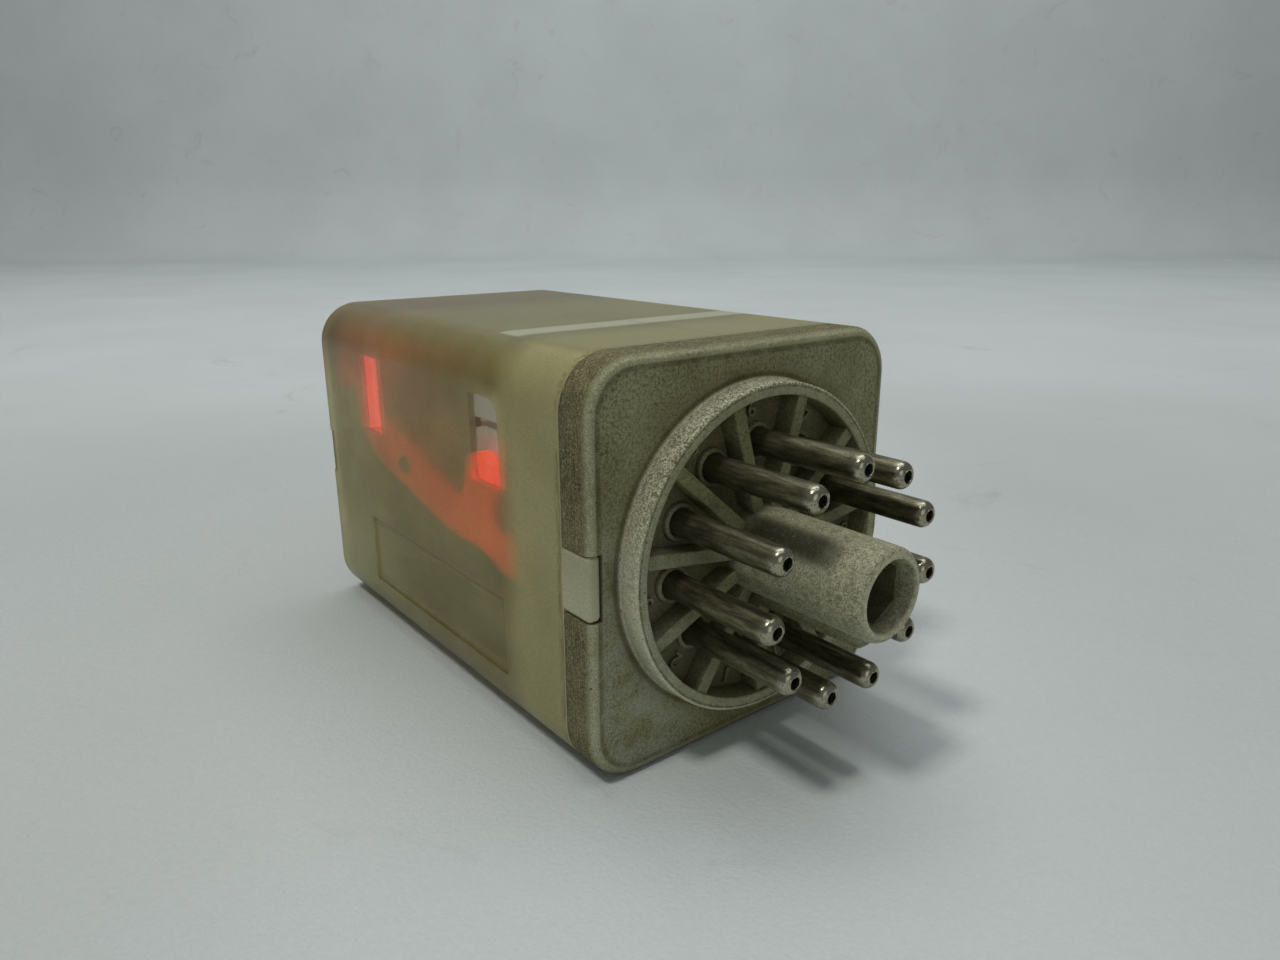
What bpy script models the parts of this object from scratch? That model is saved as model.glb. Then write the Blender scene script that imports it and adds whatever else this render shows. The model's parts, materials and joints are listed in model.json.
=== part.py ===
"""Eleven-pin plug-in relay with three changeover contacts, lying on its side.

Metres, +Z up, long axis along X, pins towards +X. The origin is the middle of
the footprint on the surface it rests on. Dimensions below are in millimetres
and measured from the base's front face (x), the centre plane (y) and the
resting surface (z); at() turns them into the part's own frame.
"""

import math

import bmesh
import bpy
from mathutils import Vector

# ---------------------------------------------------------------- dimensions
WIDTH = 35.5            # case, across Y
HEIGHT = 36.4           # case, along Z
LENGTH = 55.9           # base front face to far end of the cover
CORNER_R = 4.7          # long edges of the case
FRONT_R = 0.8           # base front edge
BACK_R = 1.5            # cover far edge
SEAM_X = -3.6           # base / cover seam
SEAM_GAP = 0.3
WALL = 1.2              # cover wall
GAP = 0.3               # clearance between touching pieces

PIN_CIRCLE = 19.05      # eleven-pin circle diameter
PIN_COUNT = 11
PIN_R = 1.18
PIN_TIP_X = 12.3
PIN_TAIL_X = -9.0
PIN_HOLE_R = 1.5
BOSS_R = 1.9
BOSS_H = 0.5
COLLAR_R = 14.87
COLLAR_WALL = 1.15
COLLAR_H = 2.34
RIB_W = 1.2
RIB_H = 2.0
SPIGOT_R = 3.95
SPIGOT_TIP_X = 15.3
MOUTH_R, MOUTH_DEPTH = 3.05, 1.6   # round mouth of the spigot's bore
HEX_R = 2.85                       # corners of its hexagonal pocket
HEX_FLOOR_X = 3.0
KEY_OUT_R = 5.2
KEY_W = 1.9
KEY_TIP_X = 13.2
MID_Z = HEIGHT / 2

FLANGE_BACK_X = -8.6    # base block inside the cover
BLOCK_X0, BLOCK_X1 = -16.4, -13.2
POLE_Y = (-9.0, 0.0, 9.0)
STRIP_W = 4.4
STRIP_T = 0.5
NO_Z = 14.5             # middle of each contact strip
NC_Z = 20.9
COM_Z = 18.95
BLADE_Z = 18.2
BLADE_T = 0.4
CONTACT_X = -28.5
STRIP_END_X = -30.3
BLADE_HINGE_X = -17.2

HINGE_X, HINGE_Z = -33.0, 31.4      # armature knife edge
COIL_Z = 19.4
POLE_FACE_X = -33.9
LEVER_PIVOT_X, LEVER_PIVOT_Z = -36.0, 20.6
LEVER_Y0, LEVER_Y1 = -15.9, -14.7

SHIFT_X = (LENGTH - SPIGOT_TIP_X) / 2

# ------------------------------------------------------------------- helpers
for old in list(bpy.data.objects):
    bpy.data.objects.remove(old, do_unlink=True)

parts = bpy.data.collections.new("plug_in_relay")
cutters = bpy.data.collections.new("cutters")
cutters.hide_render = True
bpy.context.scene.collection.children.link(parts)
bpy.context.scene.collection.children.link(cutters)


def at(x, y, z):
    return Vector(((x + SHIFT_X) / 1000, y / 1000, z / 1000))


def material(name, colour, roughness, metallic=0.0):
    made = bpy.data.materials.new(name)
    made.use_nodes = True
    shader = made.node_tree.nodes["Principled BSDF"]
    shader.inputs["Base Color"].default_value = (*colour, 1)
    shader.inputs["Roughness"].default_value = roughness
    shader.inputs["Metallic"].default_value = metallic
    made.diffuse_color = (*colour, 1)
    return made


BASE_PLASTIC = material("base_plastic", (0.34, 0.33, 0.25), 0.6)
COVER_PLASTIC = material("cover_polycarbonate", (0.40, 0.39, 0.30), 0.35)
TINNED = material("tinned_pin", (0.42, 0.40, 0.35), 0.4, 1.0)
BLOCK_PLASTIC = material("block_plastic", (0.58, 0.55, 0.44), 0.5)
ORANGE = material("orange_plastic", (0.85, 0.13, 0.03), 0.4)
STEEL = material("plated_steel", (0.55, 0.55, 0.53), 0.35, 1.0)
COPPER = material("enamelled_copper", (0.45, 0.16, 0.06), 0.35, 0.8)
BRASS = material("brass_strip", (0.60, 0.45, 0.20), 0.35, 1.0)
BRONZE = material("spring_bronze", (0.62, 0.38, 0.22), 0.3, 1.0)
SILVER = material("silver_contact", (0.75, 0.74, 0.70), 0.25, 1.0)
TAPE = material("coil_tape", (0.62, 0.55, 0.30), 0.5)
BOBBIN = material("bobbin_plastic", (0.66, 0.64, 0.56), 0.45)
WIRE = material("tinned_wire", (0.6, 0.58, 0.54), 0.35, 1.0)


def add(name, mesh, look, cutter=False):
    made = bpy.data.objects.new(name, mesh)
    (cutters if cutter else parts).objects.link(made)
    if cutter:
        made.hide_render = True
        made.display_type = "WIRE"
    else:
        mesh.materials.clear()
        own = look.copy()
        own.name = f"{look.name}.{name}"
        mesh.materials.append(own)
    return made


def finish_mesh(bm, name):
    mesh = bpy.data.meshes.new(name)
    bmesh.ops.recalc_face_normals(bm, faces=bm.faces)
    bm.to_mesh(mesh)
    bm.free()
    return mesh


def box(name, lo, hi, look=None, round_mm=0.0, segments=2, cutter=False):
    """A box between two corners, every edge rounded when round_mm is set."""
    bm = bmesh.new()
    bmesh.ops.create_cube(bm, size=1)
    low, high = at(*lo), at(*hi)
    for vertex in bm.verts:
        vertex.co = Vector(
            [low[i] if vertex.co[i] < 0 else high[i] for i in range(3)]
        )
    if round_mm:
        bmesh.ops.bevel(
            bm,
            geom=list(bm.edges),
            offset=round_mm / 1000,
            segments=segments,
            profile=0.5,
            affect="EDGES",
        )
    return add(name, finish_mesh(bm, name), look, cutter)


def case_block(name, x0, x1, y_half, z0, z1, corner, look=None, front=0.0, back=0.0, cutter=False):
    """A block along X with rounded long edges, and rounded end edges where asked."""
    bm = bmesh.new()
    bmesh.ops.create_cube(bm, size=1)
    low, high = at(x0, -y_half, z0), at(x1, y_half, z1)
    for vertex in bm.verts:
        vertex.co = Vector(
            [low[i] if vertex.co[i] < 0 else high[i] for i in range(3)]
        )
    along = [e for e in bm.edges if abs((e.verts[0].co - e.verts[1].co).x) > 1e-6]
    bmesh.ops.bevel(
        bm, geom=along, offset=corner / 1000, segments=6, profile=0.5, affect="EDGES"
    )
    for where, size in ((high.x, front), (low.x, back)):
        if not size:
            continue
        rim = [e for e in bm.edges if all(abs(v.co.x - where) < 1e-6 for v in e.verts)]
        bmesh.ops.bevel(
            bm, geom=rim, offset=size / 1000, segments=3, profile=0.5, affect="EDGES"
        )
    return add(name, finish_mesh(bm, name), look, cutter)


AXIS_TURN = {"X": (0, math.radians(90), 0), "Z": (0, 0, 0), "Y": (math.radians(-90), 0, 0)}


def turned(name, profile, axis, origin, sides=16, look=None, closed=False, cutter=False):
    """A turned shape: profile points (radius, position along the axis), outer side top to bottom."""
    mesh = bpy.data.meshes.new(name)
    points = [(r / 1000, 0, h / 1000) for r, h in profile]
    edges = [(i, i + 1) for i in range(len(points) - 1)]
    if closed:
        edges.append((len(points) - 1, 0))
    mesh.from_pydata(points, edges, [])
    made = add(name, mesh, look, cutter)
    made.rotation_euler = AXIS_TURN[axis]
    made.location = at(*origin)
    screw = made.modifiers.new("turn", "SCREW")
    screw.steps = screw.render_steps = sides
    screw.use_merge_vertices = True
    screw.merge_threshold = 1e-6
    screw.use_smooth_shade = True
    return made


def rod(name, axis, origin, start, end, r, sides=16, look=None, cutter=False):
    return turned(
        name, [(0, end), (r, end), (r, start), (0, start)], axis, origin, sides, look, False, cutter
    )


PLANE_TURN = {
    "XZ": (math.radians(90), 0, 0),
    "YZ": (math.radians(90), 0, math.radians(90)),
    "XY": (0, 0, 0),
}


def flat_outline(name, loops, plane, lo, hi, look=None, cutter=False):
    """A sheet part: filled outline in a plane, from lo to hi along the plane's normal."""
    curve = bpy.data.curves.new(name, "CURVE")
    curve.dimensions = "2D"
    curve.fill_mode = "BOTH"
    curve.extrude = (hi - lo) / 2000
    for loop in loops:
        spline = curve.splines.new("POLY")
        spline.points.add(len(loop) - 1)
        for point, (u, v) in zip(spline.points, loop):
            if plane in ("XZ", "XY"):
                u += SHIFT_X
            point.co = (u / 1000, v / 1000, 0, 1)
        spline.use_cyclic_u = True
    guide = bpy.data.objects.new(name + ".curve", curve)
    parts.objects.link(guide)
    guide.rotation_euler = PLANE_TURN[plane]
    middle = (hi + lo) / 2000
    guide.location = {
        "XZ": (0, middle, 0),
        "YZ": (middle + SHIFT_X / 1000, 0, 0),
        "XY": (0, 0, middle),
    }[plane]
    return curve_to_mesh(guide, name, look, cutter)


def curve_to_mesh(guide, name, look, cutter=False):
    bpy.context.view_layer.update()
    graph = bpy.context.evaluated_depsgraph_get()
    mesh = bpy.data.meshes.new_from_object(guide.evaluated_get(graph))
    placed = guide.matrix_world.copy()
    bpy.data.objects.remove(guide, do_unlink=True)
    bm = bmesh.new()
    bm.from_mesh(mesh)
    bm.transform(placed)
    bmesh.ops.remove_doubles(bm, verts=bm.verts, dist=1e-6)
    bmesh.ops.recalc_face_normals(bm, faces=bm.faces)
    bm.to_mesh(mesh)
    bm.free()
    mesh.name = name
    return add(name, mesh, look, cutter)


def ring_points(u, v, r, count):
    step = 2 * math.pi / count
    return [(u + r * math.cos(i * step), v + r * math.sin(i * step)) for i in range(count)]


def rounded(points, radius, count=3):
    """The polyline with each inner corner replaced by a short arc."""
    corners = [Vector(p) for p in points]
    out = [corners[0]]
    for before, here, after in zip(corners, corners[1:], corners[2:]):
        a, b = before - here, after - here
        reach = min(radius, a.length * 0.45, b.length * 0.45)
        start, end = here + a.normalized() * reach, here + b.normalized() * reach
        for i in range(count):
            t = i / (count - 1)
            out.append(start * (1 - t) ** 2 + here * 2 * t * (1 - t) + end * t**2)
    out.append(corners[-1])
    return out


def wire(name, points, r, look, corner=0.6):
    curve = bpy.data.curves.new(name, "CURVE")
    curve.dimensions = "3D"
    curve.bevel_depth = r / 1000
    curve.bevel_resolution = 1
    curve.use_fill_caps = True
    route = [at(*p) for p in rounded(points, corner)]
    spline = curve.splines.new("POLY")
    spline.points.add(len(route) - 1)
    for point, place in zip(spline.points, route):
        point.co = (*place, 1)
    guide = bpy.data.objects.new(name + ".curve", curve)
    parts.objects.link(guide)
    return curve_to_mesh(guide, name, look)


def boolean(target, operation, tools):
    """Joins or cuts with every tool at once, and keeps only the result."""
    group = bpy.data.collections.new(f"{target.name}_{operation.lower()}")
    cutters.children.link(group)
    for tool in tools:
        group.objects.link(tool)
    change = target.modifiers.new(operation.lower(), "BOOLEAN")
    change.operation = operation
    change.solver = "EXACT"
    change.operand_type = "COLLECTION"
    change.collection = group
    bpy.context.view_layer.update()
    graph = bpy.context.evaluated_depsgraph_get()
    mesh = bpy.data.meshes.new_from_object(target.evaluated_get(graph))
    bm = bmesh.new()
    bm.from_mesh(mesh)
    bmesh.ops.remove_doubles(bm, verts=bm.verts, dist=1e-7)
    bmesh.ops.dissolve_degenerate(bm, edges=bm.edges, dist=1e-7)
    bm.to_mesh(mesh)
    bm.free()
    look = target.data.materials[0] if target.data.materials else None
    target.modifiers.clear()
    target.data = mesh
    mesh.materials.clear()
    if look:
        mesh.materials.append(look)
    for tool in tools:
        bpy.data.objects.remove(tool, do_unlink=True)
    bpy.data.collections.remove(group)


def bake(obj):
    """Applies modifiers and the placement, so the mesh lies in world space."""
    bpy.context.view_layer.update()
    graph = bpy.context.evaluated_depsgraph_get()
    mesh = bpy.data.meshes.new_from_object(obj.evaluated_get(graph))
    mesh.transform(obj.matrix_world)
    looks = list(obj.data.materials)
    obj.modifiers.clear()
    obj.data = mesh
    mesh.materials.clear()
    for look in looks:
        mesh.materials.append(look)
    obj.location = (0, 0, 0)
    obj.rotation_euler = (0, 0, 0)
    bpy.context.view_layer.update()


def put_origin(obj, x, y, z):
    """Moves the object's origin onto its joint axis without moving the piece."""
    if obj.modifiers or obj.location.length or any(obj.rotation_euler):
        bake(obj)
    origin = at(x, y, z)
    for vertex in obj.data.vertices:
        vertex.co -= origin
    obj.location = origin


def pin_place(number):
    """(y, z) of a pin; pin 1 is beside the key and they run clockwise from the pin side."""
    turn = math.radians(-106.4 - (number - 1) * 360 / PIN_COUNT)
    r = PIN_CIRCLE / 2
    return r * math.cos(turn), MID_Z + r * math.sin(turn)


# ---------------------------------------------------------------------- base
base = case_block(
    "base", SEAM_X, 0, WIDTH / 2, 0, HEIGHT, CORNER_R, BASE_PLASTIC, front=FRONT_R
)
tools = [
    case_block(
        "t_flange", FLANGE_BACK_X, SEAM_X + 0.5, WIDTH / 2 - WALL - GAP - 0.05,
        WALL + GAP + 0.05, HEIGHT - WALL - GAP - 0.05, CORNER_R - WALL - GAP, cutter=True,
    ),
    turned(
        "t_collar",
        [
            (COLLAR_R - 0.3, COLLAR_H),
            (COLLAR_R, COLLAR_H - 0.3),
            (COLLAR_R, -0.6),
            (COLLAR_R - COLLAR_WALL - 0.1, -0.6),
            (COLLAR_R - COLLAR_WALL, COLLAR_H),
        ],
        "X", (0, 0, MID_Z), 48, closed=True, cutter=True,
    ),
    turned(
        "t_spigot",
        [
            (0, SPIGOT_TIP_X),
            (SPIGOT_R - 0.6, SPIGOT_TIP_X),
            (SPIGOT_R - 0.18, SPIGOT_TIP_X - 0.18),
            (SPIGOT_R, SPIGOT_TIP_X - 0.6),
            (SPIGOT_R, -0.8),
            (0, -0.8),
        ],
        "X", (0, 0, MID_Z), 32, cutter=True,
    ),
    box(
        "t_key", (-0.8, -KEY_W / 2, MID_Z - KEY_OUT_R), (KEY_TIP_X, KEY_W / 2, MID_Z - SPIGOT_R + 1.2),
        round_mm=0.45, segments=2, cutter=True,
    ),
]
for number in range(1, PIN_COUNT + 1):
    y, z = pin_place(number)
    tools.append(
        rod(f"t_boss_{number}", "X", (0, y, z), -0.7, BOSS_H, BOSS_R, 20, cutter=True)
    )
    turn = math.atan2(z - MID_Z, y) + math.pi / PIN_COUNT
    rib = box(
        f"t_rib_{number}", (-0.6, SPIGOT_R - 0.6, -RIB_W / 2), (RIB_H, COLLAR_R - COLLAR_WALL + 0.5, RIB_W / 2),
        cutter=True,
    )
    rib.rotation_euler = (turn, 0, 0)
    rib.location = (0, 0, MID_Z / 1000)
    bake(rib)
    tools.append(rib)
boolean(base, "UNION", tools)
tools = [
    rod(f"t_hole_{n}", "X", (0, *pin_place(n)), FLANGE_BACK_X - 1, BOSS_H + 1, PIN_HOLE_R, 20, cutter=True)
    for n in range(1, PIN_COUNT + 1)
]
# Bore of the guide spigot: a short round mouth, then a hexagonal pocket.
tools.append(rod("t_mouth", "X", (0, 0, MID_Z), SPIGOT_TIP_X - MOUTH_DEPTH, SPIGOT_TIP_X + 1, MOUTH_R, 24, cutter=True))
boolean(base, "DIFFERENCE", tools)
tools = [rod("t_hex", "X", (0, 0, MID_Z), HEX_FLOOR_X, SPIGOT_TIP_X - 1.2, HEX_R, 6, cutter=True)]
for side in (-1, 1):
    tools.append(
        box(
            f"t_notch_{side}", (SEAM_X - 0.2, min(side * 16.4, side * 19), 15.1),
            (0.6, max(side * 16.4, side * 19), 21.3), cutter=True,
        )
    )
boolean(base, "DIFFERENCE", tools)

# ---------------------------------------------------------------------- pins
for number in range(1, PIN_COUNT + 1):
    turned(
        f"pin_{number}",
        [
            (0, PIN_TIP_X - 3.0),
            (0.5, PIN_TIP_X - 3.0),
            (0.5, PIN_TIP_X - 0.1),
            (0.6, PIN_TIP_X),
            (0.86, PIN_TIP_X - 0.1),
            (1.1, PIN_TIP_X - 0.4),
            (PIN_R, PIN_TIP_X - 0.8),
            (PIN_R, PIN_TAIL_X),
            (0, PIN_TAIL_X),
        ],
        "X", (0, *pin_place(number)), 16, TINNED,
    )

# --------------------------------------------------------------------- cover
cover = case_block(
    "cover", -LENGTH, SEAM_X - SEAM_GAP, WIDTH / 2, 0, HEIGHT, CORNER_R, COVER_PLASTIC, back=BACK_R
)
tongues = []
for side in (-1, 1):
    tongues.append(
        box(
            f"t_tongue_{side}", (SEAM_X - SEAM_GAP - 1.0, min(side * 16.75, side * 17.75), 15.5),
            (-0.15, max(side * 16.75, side * 17.75), 20.9), round_mm=0.25, segments=1, cutter=True,
        )
    )
boolean(cover, "UNION", tongues)
tools = [
    case_block(
        "t_inside", -LENGTH + WALL, SEAM_X + 5, WIDTH / 2 - WALL, WALL, HEIGHT - WALL, CORNER_R - WALL,
        back=0.5, cutter=True,
    ),
    box("t_button_way", (-LENGTH - 1, -15.0, 27.1), (-LENGTH + 3, -9.0, 33.3), cutter=True),
    box("t_label", (-43.5, -19, 5.3), (-13.5, -17.5, 13.0), cutter=True),
]
for side in (-1, 1):
    tools.append(
        box(
            f"t_clip_{side}", (-LENGTH - 1, min(side * 17.1, side * 19), 16.1),
            (-LENGTH + 1.6, max(side * 17.1, side * 19), 21.2), cutter=True,
        )
    )
boolean(cover, "DIFFERENCE", tools)

# ------------------------------------------------------------- contact block
block = box("contact_block", (BLOCK_X0, -14.0, 7.0), (BLOCK_X1, 14.0, 28.2), BLOCK_PLASTIC)
tools = [box("t_rib_top", (-18.4, -14.0, 27.0), (-15.0, 14.0, 34.7), cutter=True)]
# Two guide arms at each side, clear of the card between them.
for side in (-1, 1):
    for level, (z0, z1) in enumerate(((24.4, 26.8), (27.9, 30.2))):
        tools.append(
            box(
                f"t_arm_{side}_{level}", (-23.2, min(side * 13.1, side * 14.0), z0),
                (-14.8, max(side * 13.1, side * 14.0), z1), cutter=True,
            )
        )
boolean(block, "UNION", tools)
tools = []
for pole, y in enumerate(POLE_Y, 1):
    for label, z in (("no", NO_Z), ("nc", NC_Z), ("com", COM_Z)):
        tools.append(
            box(
                f"t_slot_{label}_{pole}", (BLOCK_X0 - 3, y - STRIP_W / 2 - GAP, z - STRIP_T / 2 - GAP),
                (BLOCK_X1 + 2, y + STRIP_W / 2 + GAP, z + STRIP_T / 2 + GAP), cutter=True,
            )
        )
boolean(block, "DIFFERENCE", tools)


# ------------------------------------------------------------------ contacts
def strip(name, y, z, end_x, look, hole):
    w = STRIP_W / 2
    outline = [(-12.9, y - w), (-12.9, y + w), (end_x + 1, y + w), (end_x, y + w - 1), (end_x, y - w + 1), (end_x + 1, y - w)]
    loops = [outline] + ([ring_points(CONTACT_X, y, 1.1, 12)] if hole else [])
    return flat_outline(name, loops, "XY", z - STRIP_T / 2, z + STRIP_T / 2, look)


def rivet(name, y, top, neck_top, neck_bottom, bottom, r_top=1.5, r_bottom=1.5):
    """A double-headed contact rivet standing along Z."""
    return turned(
        name,
        [
            (0, top), (r_top, top), (r_top, neck_top), (0.75, neck_top),
            (0.75, neck_bottom), (r_bottom, neck_bottom), (r_bottom, bottom), (0, bottom),
        ],
        "Z", (CONTACT_X, y, 0), 12, SILVER,
    )


for pole, y in enumerate(POLE_Y, 1):
    half = STRIP_T / 2
    strip(f"normally_open_strip_{pole}", y, NO_Z, STRIP_END_X, BRASS, True)
    strip(f"normally_closed_strip_{pole}", y, NC_Z, STRIP_END_X, BRASS, True)
    strip(f"common_strip_{pole}", y, COM_Z, -19.5, BRASS, False)
    rivet(f"normally_open_contact_{pole}", y, 15.6, NO_Z + half + GAP, NO_Z - half - GAP, 13.5)
    rivet(f"normally_closed_contact_{pole}", y, 21.95, NC_Z + half + GAP, NC_Z - half - GAP, 19.8)
    blade = flat_outline(
        f"moving_blade_{pole}",
        [
            [
                (-16.8, y - 2.2), (-16.8, y + 2.2), (-19.0, y + 2.5), (-26.4, y + 2.1), (-29.5, y + 2.1),
                (STRIP_END_X, y + 1.3), (STRIP_END_X, y - 1.3), (-29.5, y - 2.1), (-26.4, y - 2.1), (-19.0, y - 2.5),
            ],
            ring_points(CONTACT_X, y, 1.1, 12),
        ],
        "XY", BLADE_Z - BLADE_T / 2, BLADE_Z + BLADE_T / 2, BRONZE,
    )
    put_origin(blade, BLADE_HINGE_X, y, BLADE_Z)
    moving = rivet(f"moving_contact_{pole}", y, 19.5, 18.7, 17.7, 16.9)
    put_origin(moving, BLADE_HINGE_X, y, BLADE_Z)

# Leads from the pin tails to the contact strips.
LEADS = {
    "common_lead_1": (1, -7.6, COM_Z, -11.3),
    "common_lead_2": (6, 0.0, COM_Z, -10.2),
    "common_lead_3": (11, 7.6, COM_Z, -11.3),
    "normally_closed_lead_1": (4, -9.0, NC_Z, -10.6),
    "normally_closed_lead_2": (5, -1.4, NC_Z, -11.4),
    "normally_closed_lead_3": (8, 9.0, NC_Z, -10.6),
    "normally_open_lead_1": (3, -9.6, NO_Z, -10.6),
    "normally_open_lead_2": (7, 1.6, NO_Z, -11.4),
    "normally_open_lead_3": (9, 9.6, NO_Z, -10.6),
}
for name, (number, y, z, plane) in LEADS.items():
    py, pz = pin_place(number)
    wire(name, [(-9.35, py, pz), (plane, py, pz), (plane, y, z), (-12.55, y, z)], 0.35, WIRE)
for index, number in ((1, 2), (2, 10)):
    py, pz = pin_place(number)
    side = math.copysign(1, py)
    wire(
        f"coil_lead_{index}",
        [(-9.35, py, pz), (-10.8, py, pz), (-12.0, py, 5.6), (-34.2, side * 8.0, 5.6), (-34.7, side * 8.0, 10.4)],
        0.35, WIRE,
    )

# -------------------------------------------------------------- electromagnet
bobbin = box("bobbin", (-36.7, -10.5, COIL_Z - 10.5), (-35.3, 10.5, COIL_Z + 10.5), BOBBIN)
boolean(
    bobbin, "UNION",
    [
        box("t_far_flange", (-50.6, -10.5, COIL_Z - 10.5), (-49.2, 10.5, COIL_Z + 10.5), cutter=True),
        rod("t_tube", "X", (0, 0, COIL_Z), -49.7, -36.2, 4.6, 24, cutter=True),
    ],
)
boolean(bobbin, "DIFFERENCE", [rod("t_core_way", "X", (0, 0, COIL_Z), -52, -34, 4.1, 24, cutter=True)])
turned(
    "coil_winding", [(9.6, -37.0), (9.6, -48.9), (4.9, -48.9), (4.9, -37.0)],
    "X", (0, 0, COIL_Z), 24, COPPER, closed=True,
)
turned(
    "coil_tape", [(10.2, -37.3), (10.2, -48.6), (9.9, -48.6), (9.9, -37.3)],
    "X", (0, 0, COIL_Z), 24, TAPE, closed=True,
)
core = turned(
    "core",
    [
        (0, POLE_FACE_X), (5.0, POLE_FACE_X), (5.0, -35.0), (3.8, -35.0),
        (3.8, -50.6), (2.4, -50.6), (2.4, -52.9), (0, -52.9),
    ],
    "X", (0, 0, COIL_Z), 20, STEEL,
)
bake(core)
boolean(
    core, "DIFFERENCE",
    [
        turned(
            "t_ring_groove", [(3.7, POLE_FACE_X + 1), (3.7, POLE_FACE_X - 0.95), (2.1, POLE_FACE_X - 0.95), (2.1, POLE_FACE_X + 1)],
            "X", (0, 0, COIL_Z), 20, closed=True, cutter=True,
        )
    ],
)
turned(
    "shading_ring", [(3.4, POLE_FACE_X - 0.1), (3.4, POLE_FACE_X - 0.65), (2.4, POLE_FACE_X - 0.65), (2.4, POLE_FACE_X - 0.1)],
    "X", (0, 0, COIL_Z), 20, COPPER, closed=True,
)
yoke = flat_outline(
    "yoke",
    [
        [
            (-33.3, 30.9), (-33.3, 32.4), (-51.0, 32.4), (-51.9, 32.0), (-52.4, 31.1), (-52.4, 9.5),
            (-50.9, 9.5), (-50.9, 30.6), (-50.6, 30.9),
        ]
    ],
    "XZ", -8.0, 8.0, STEEL,
)
boolean(yoke, "DIFFERENCE", [rod("t_tail_way", "X", (0, 0, COIL_Z), -54, -50, 2.7, 20, cutter=True)])

# ------------------------------------------------------- armature and its card
armature = flat_outline(
    "armature",
    [
        [
            (-32.2, 12.0), (-31.0, 12.0), (-31.0, 30.2), (-30.7, 30.9), (-23.6, 30.9), (-23.6, 32.1),
            (-31.2, 32.1), (-32.0, 31.6), (-32.2, 30.8),
        ]
    ],
    "XZ", -8.0, 8.0, STEEL,
)
put_origin(armature, HINGE_X, 0, HINGE_Z)
windows = [
    [(y - 2.7, 20.2), (y + 2.7, 20.2), (y + 2.7, 22.5), (y - 2.7, 22.5)] for y in POLE_Y
]
card = flat_outline(
    "actuator_card",
    [
        [
            (-14.4, 18.8), (12.6, 18.8), (12.6, 27.0), (8.0, 30.6), (-8.0, 30.6), (-12.6, 27.0),
            (-12.6, 20.0), (-14.4, 20.0),
        ]
    ] + windows,
    "YZ", -25.0, -23.8, BLOCK_PLASTIC,
)
put_origin(card, HINGE_X, 0, HINGE_Z)
flat_outline(
    "armature_leaf_spring",
    [[(-40.0, -3.0), (-34.5, -3.0), (-26.0, -1.6), (-26.0, 1.6), (-34.5, 3.0), (-40.0, 3.0)]],
    "XY", 32.75, 33.05, BRONZE,
)

# ------------------------------------------------ test lever, pivot and button
tip = [
    (-19.4 + 2.75 * math.cos(math.radians(a)), 22.6 + 2.75 * math.sin(math.radians(a)))
    for a in range(180, -1, -20)
]
lever = flat_outline(
    "test_lever",
    [
        [(-52.3, 32.4), (-43.8, 32.8), (-42.9, 32.1), (-42.5, 29.7), (-42.6, 27.0), (-42.3, 25.0), (-40.9, 23.8),
         (-37.6, 23.1), (-33.4, 22.4), (-28.8, 21.6), (-25.2, 21.1), (-22.9, 21.0)]
        + tip
        + [(-16.9, 21.6), (-17.9, 20.6), (-17.9, 18.9), (-17.0, 18.2), (-14.9, 17.9), (-13.5, 17.0),
           (-13.0, 15.2), (-13.4, 14.5), (-14.3, 14.3), (-16.1, 14.7), (-18.2, 15.4), (-21.0, 15.9),
           (-23.6, 15.8), (-27.3, 16.2), (-31.8, 17.2), (-35.9, 18.2), (-40.3, 19.1), (-43.5, 20.3),
           (-46.0, 21.9), (-47.4, 23.8), (-47.6, 27.0), (-47.4, 29.4), (-48.4, 30.4), (-52.3, 30.7)],
        ring_points(LEVER_PIVOT_X, LEVER_PIVOT_Z, 1.5, 16),
        ring_points(-20.6, 23.0, 0.65, 10),
    ],
    "XZ", LEVER_Y0, LEVER_Y1, ORANGE,
)
boolean(
    lever, "UNION",
    [
        box("t_foot", (-52.5, LEVER_Y0 + 0.2, 30.75), (-51.3, -9.5, 32.35), cutter=True),
        box("t_peg", (-25.2, LEVER_Y1 - 0.6, 20.3), (-23.2, -13.3, 21.5), cutter=True),
    ],
)
put_origin(lever, LEVER_PIVOT_X, (LEVER_Y0 + LEVER_Y1) / 2, LEVER_PIVOT_Z)
turned(
    "lever_pivot_pin",
    [(0, -10.8), (1.2, -10.8), (1.2, -15.8), (0.9, -16.1), (0, -16.1)],
    "Y", (LEVER_PIVOT_X, 0, LEVER_PIVOT_Z), 16, BOBBIN,
)
button = box("test_button", (-LENGTH, -14.7, 27.4), (-53.6, -9.3, 33.0), ORANGE, round_mm=0.3, segments=2)
boolean(button, "UNION", [box("t_stop", (-54.3, -15.3, 26.6), (-53.0, -8.7, 33.7), round_mm=0.4, segments=1, cutter=True)])
put_origin(button, -LENGTH, -12.0, 30.2)

# ------------------------------------------------------------------- shading
for piece in list(parts.objects):
    if piece.type == "MESH" and piece.data.polygons:
        piece.data.shade_smooth()
        piece.data.set_sharp_from_angle(angle=math.radians(35))
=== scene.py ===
"""Looks of an eleven-pin plug-in relay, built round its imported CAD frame.

Metres, +Z up. at() takes millimetres measured from the base's front face (x),
the centre plane (y) and the resting surface (z), as the CAD's design does.
"""

import json
import math

import bmesh
import bpy
from mathutils import Matrix, Vector, noise


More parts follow.
